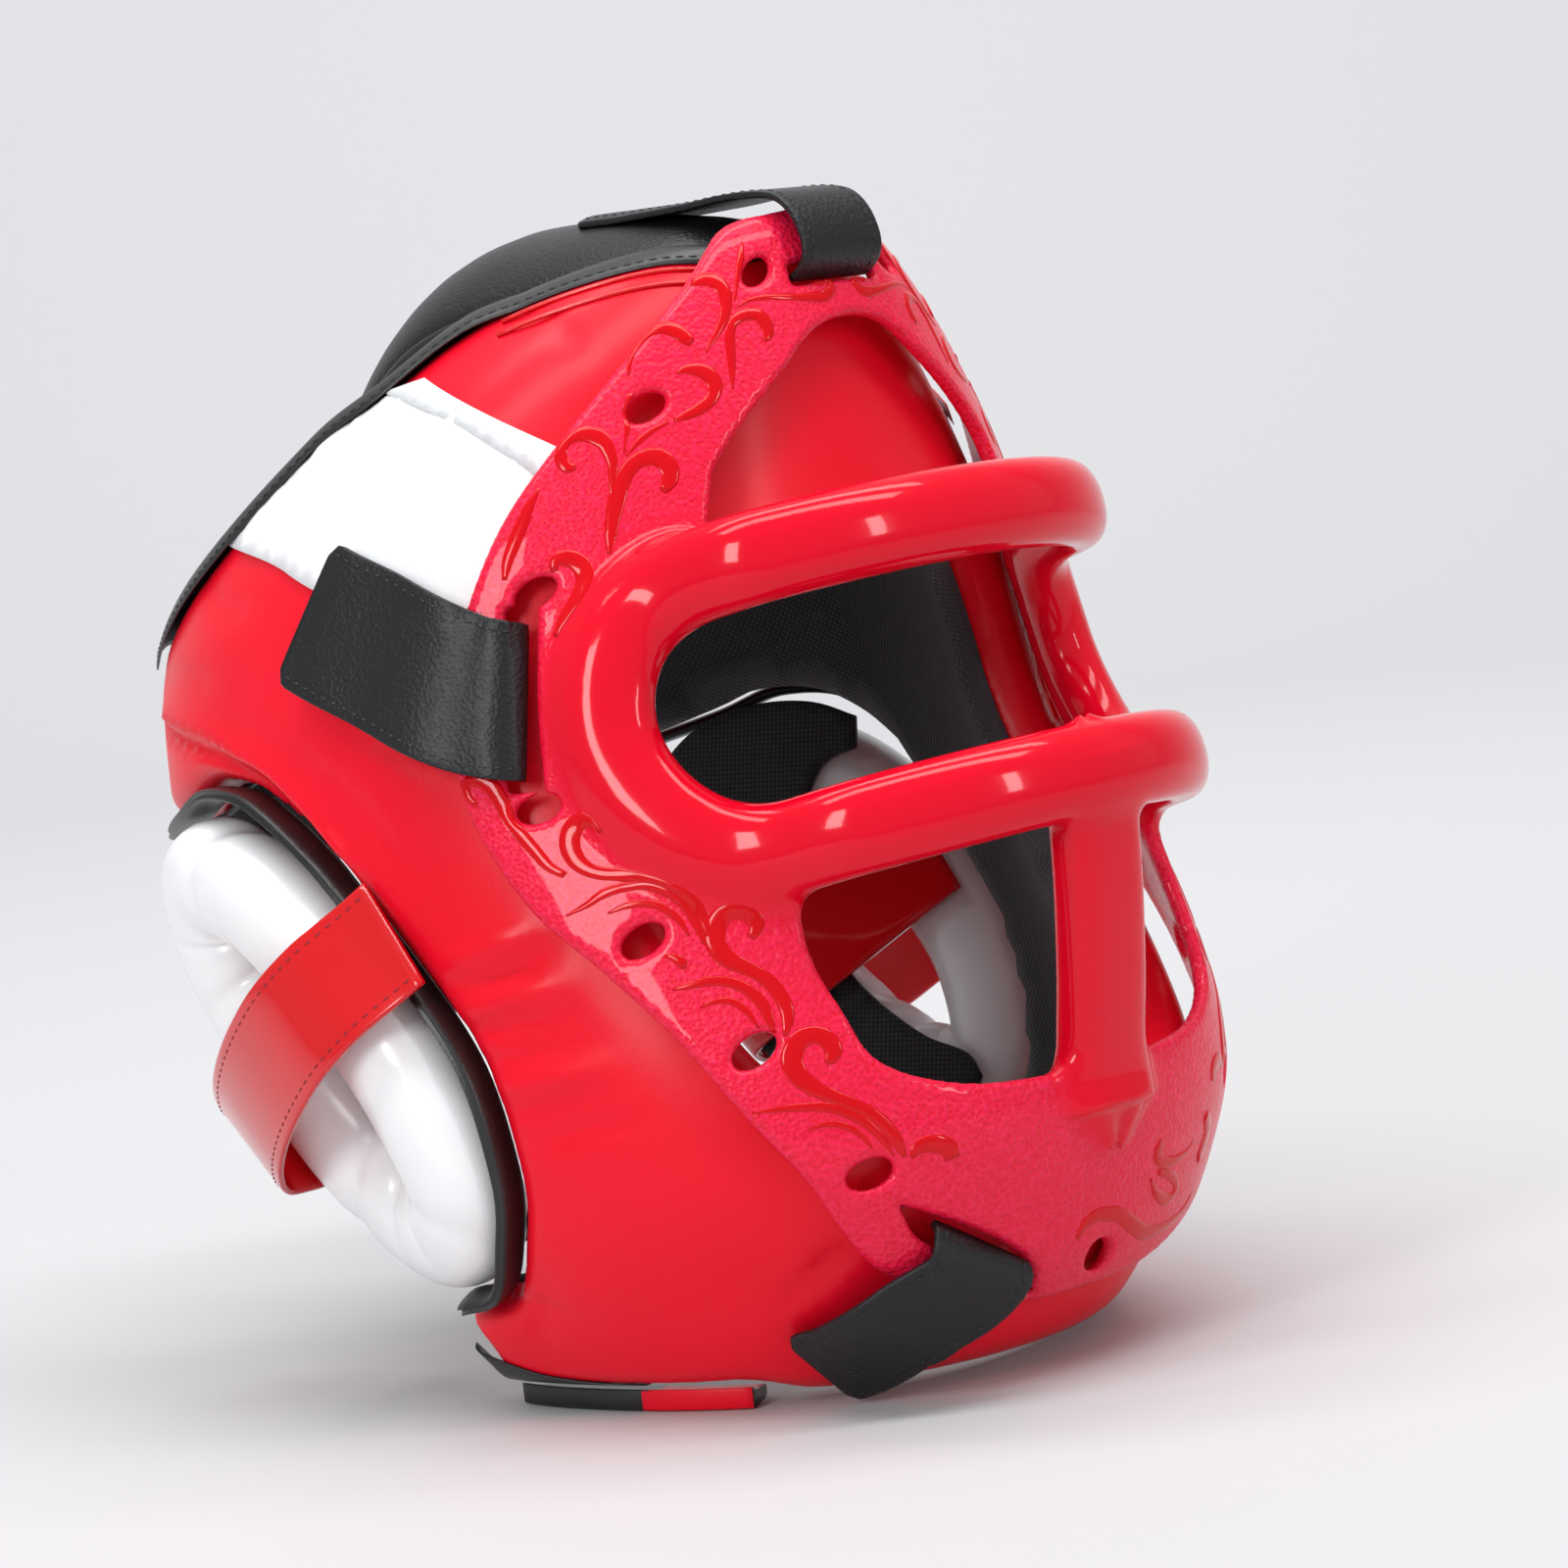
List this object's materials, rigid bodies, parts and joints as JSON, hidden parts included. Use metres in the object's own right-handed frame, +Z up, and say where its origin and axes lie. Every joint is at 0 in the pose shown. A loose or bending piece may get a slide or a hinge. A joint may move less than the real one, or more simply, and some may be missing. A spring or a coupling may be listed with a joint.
{
  "type": "martial arts headgear with visor",
  "caption": "Padded open-crown head guard with soft ear rings and a rigid face cage with brow, eye and nose bars, held on by hook-and-loop straps.",
  "frame": {"origin": "on the table under the middle of the bounding box, as the guard rests on its jaw corners and chin", "axes": "+X to the wearer's left, +Y to the back of the head, +Z up"},
  "size_m": [0.2266, 0.2708, 0.2635],
  "materials": {
    "pad_shell": "glossy coated red synthetic leather",
    "lining": "black woven mesh cloth",
    "back_panel": "satin black synthetic leather",
    "crown_flap": "satin black synthetic leather",
    "crown_binding": "satin black synthetic leather",
    "visor": "pebble-grained plate with smooth glossy bars",
    "top_strap": "satin black synthetic leather",
    "side_patch_right": "satin white synthetic leather",
    "side_patch_left": "satin white synthetic leather",
    "patch_strip_right": "satin white synthetic leather",
    "patch_strip_left": "satin white synthetic leather",
    "ear_ring_right": "satin white synthetic leather",
    "ear_ring_left": "satin white synthetic leather",
    "ear_backing_right": "black woven mesh cloth",
    "ear_backing_left": "black woven mesh cloth",
    "ear_trim_right": "satin black synthetic leather",
    "ear_trim_left": "satin black synthetic leather",
    "ear_strap_right": "glossy coated red synthetic leather",
    "ear_strap_left": "glossy coated red synthetic leather",
    "temple_strap_right": "satin black synthetic leather",
    "temple_strap_left": "satin black synthetic leather",
    "jaw_lip_right": "satin black synthetic leather",
    "jaw_lip_left": "satin black synthetic leather",
    "chin_strap": "satin black synthetic leather"
  },
  "bodies": {
    "root": {"pad_shell": "pad_shell", "lining": "lining", "back_panel": "back_panel", "crown_flap": "crown_flap", "crown_binding": "crown_binding", "visor": "visor", "top_strap": "top_strap", "side_patch_right": "side_patch_right", "side_patch_left": "side_patch_left", "patch_strip_right": "patch_strip_right", "patch_strip_left": "patch_strip_left", "ear_ring_right": "ear_ring_right", "ear_ring_left": "ear_ring_left", "ear_backing_right": "ear_backing_right", "ear_backing_left": "ear_backing_left", "ear_trim_right": "ear_trim_right", "ear_trim_left": "ear_trim_left", "ear_strap_right": "ear_strap_right", "ear_strap_left": "ear_strap_left", "temple_strap_right": "temple_strap_right", "temple_strap_left": "temple_strap_left", "jaw_lip_right": "jaw_lip_right", "jaw_lip_left": "jaw_lip_left", "chin_strap": "chin_strap"}
  },
  "joints": []
}
